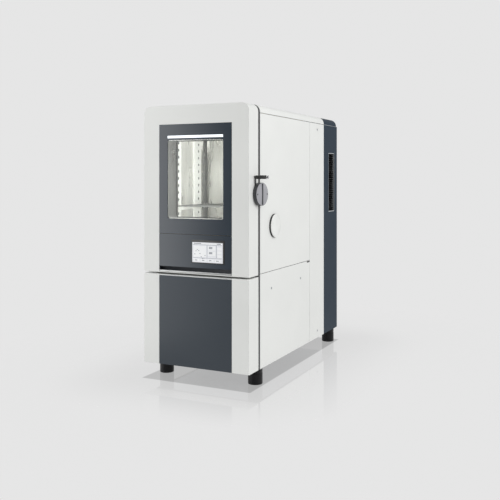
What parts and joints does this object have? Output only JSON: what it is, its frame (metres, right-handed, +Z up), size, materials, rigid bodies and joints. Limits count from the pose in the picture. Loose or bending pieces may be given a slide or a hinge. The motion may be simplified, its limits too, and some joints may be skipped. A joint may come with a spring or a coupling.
{
  "type": "environmental test chamber",
  "caption": "Free-standing climate test chamber: white cabinet on feet, insulated door with window and display, lower service door, rotary handle, cable port and dark rear column with vents.",
  "frame": {"origin": "on the floor, at the bottom centre of the whole object's box", "axes": "+Z up, the doors face -Y, +X towards the side with the handle and the cable port"},
  "size_m": [0.852, 1.563, 1.703],
  "materials": {
    "white_paint": "satin",
    "slate_paint": "satin",
    "frame_paint": "matte",
    "stainless": "polished",
    "zinc_steel": "satin",
    "foam": "matte",
    "clear_glass": "gloss",
    "printed_glass": "gloss",
    "seal_rubber": "matte",
    "port_silicone": "satin",
    "light_strip": "gloss",
    "screen": "gloss",
    "handle_grey": "satin",
    "black_plastic": "satin",
    "grip_grey": "satin",
    "tank_plastic": "satin",
    "copper": "satin",
    "fin_aluminium": "satin",
    "black_iron": "satin",
    "switch_yellow": "gloss",
    "switch_red": "gloss"
  },
  "bodies": {
    "cabinet": {"base_pan": "zinc_steel", "levelling_feet": "seal_rubber", "support_frame": "zinc_steel", "front_frame": "frame_paint", "chamber_liner": "stainless", "chamber_insulation": "foam", "roof_panel": "white_paint", "side_panels_left": "white_paint", "side_panels_right": "white_paint", "rear_cover": "slate_paint", "rear_cap": "slate_paint", "vent_grilles": "black_plastic", "connection_box": "zinc_steel", "main_switch_body": "switch_yellow", "supply_fittings": "zinc_steel", "panel_fasteners": "zinc_steel", "port_tube": "stainless", "port_collar": "seal_rubber", "shelf_supports": "stainless", "air_duct_panel": "stainless", "fan_motor": "black_iron", "evaporator_coil": "fin_aluminium", "heater_coil": "stainless", "climate_sensors": "stainless", "compressors": "black_iron", "refrigerant_pipes": "copper", "condenser_coil": "fin_aluminium", "condenser_shroud": "zinc_steel", "humidifier": "tank_plastic", "water_tank": "tank_plastic", "electrical_backplate": "zinc_steel", "electrical_modules": "grip_grey", "latch_keeper": "zinc_steel", "frame_hinge_leaves": "stainless", "hinge_pins": "zinc_steel"},
    "chamber_door": {"door_shell": "white_paint", "door_insulation": "foam", "door_inner_panel": "stainless", "door_seal": "seal_rubber", "window_tunnel": "stainless", "glass_surround": "printed_glass", "window_panes": "clear_glass", "light_bar": "light_strip", "control_panel": "printed_glass", "display_screen": "screen", "door_grip": "grip_grey", "door_hinge_leaves": "stainless", "handle_bearing": "black_plastic"},
    "door_handle": {"handle_disc": "handle_grey", "handle_lever": "black_plastic", "handle_spindle": "zinc_steel"},
    "service_door": {"service_door_shell": "white_paint", "service_door_front": "slate_paint", "service_door_trim": "grip_grey", "service_hinge_leaves": "stainless"},
    "port_plug": {"port_plug": "port_silicone"},
    "shelf": {"wire_shelf": "stainless"},
    "circulation_fan": {"circulation_fan": "fin_aluminium"},
    "condenser_fan": {"condenser_fan": "black_plastic"},
    "main_switch": {"main_switch_knob": "switch_red"}
  },
  "joints": [
    {"name": "chamber_door_swing", "type": "hinge", "parent": "cabinet", "child": "chamber_door", "pos_m": [-0.415, -0.6425, 1.187], "axis": [0, 0, -1], "range_deg": [0, 110]},
    {"name": "handle_turn", "type": "hinge", "parent": "chamber_door", "child": "door_handle", "pos_m": [0.355, -0.6635, 1.159], "axis": [1, 0, 0], "range_deg": [0, 90]},
    {"name": "service_door_swing", "type": "hinge", "parent": "cabinet", "child": "service_door", "pos_m": [-0.415, -0.6425, 0.38], "axis": [0, 0, -1], "range_deg": [0, 110]},
    {"name": "port_plug_pull", "type": "slide", "parent": "cabinet", "child": "port_plug", "axis": [1, 0, 0], "range_m": [0, 0.1]},
    {"name": "shelf_slide", "type": "slide", "parent": "cabinet", "child": "shelf", "axis": [0, -1, 0], "range_m": [0, 0.08]},
    {"name": "circulation_fan_spin", "type": "hinge", "parent": "cabinet", "child": "circulation_fan", "pos_m": [-0.0345, -0.0815, 1.4], "axis": [0, 1, 0], "continuous": true},
    {"name": "condenser_fan_spin", "type": "hinge", "parent": "cabinet", "child": "condenser_fan", "pos_m": [-0.0345, 0.5685, 1.172], "axis": [0, 1, 0], "continuous": true},
    {"name": "main_switch_turn", "type": "hinge", "parent": "cabinet", "child": "main_switch", "pos_m": [-0.1145, 0.7325, 0.33], "axis": [0, 1, 0], "range_deg": [0, 90]}
  ]
}
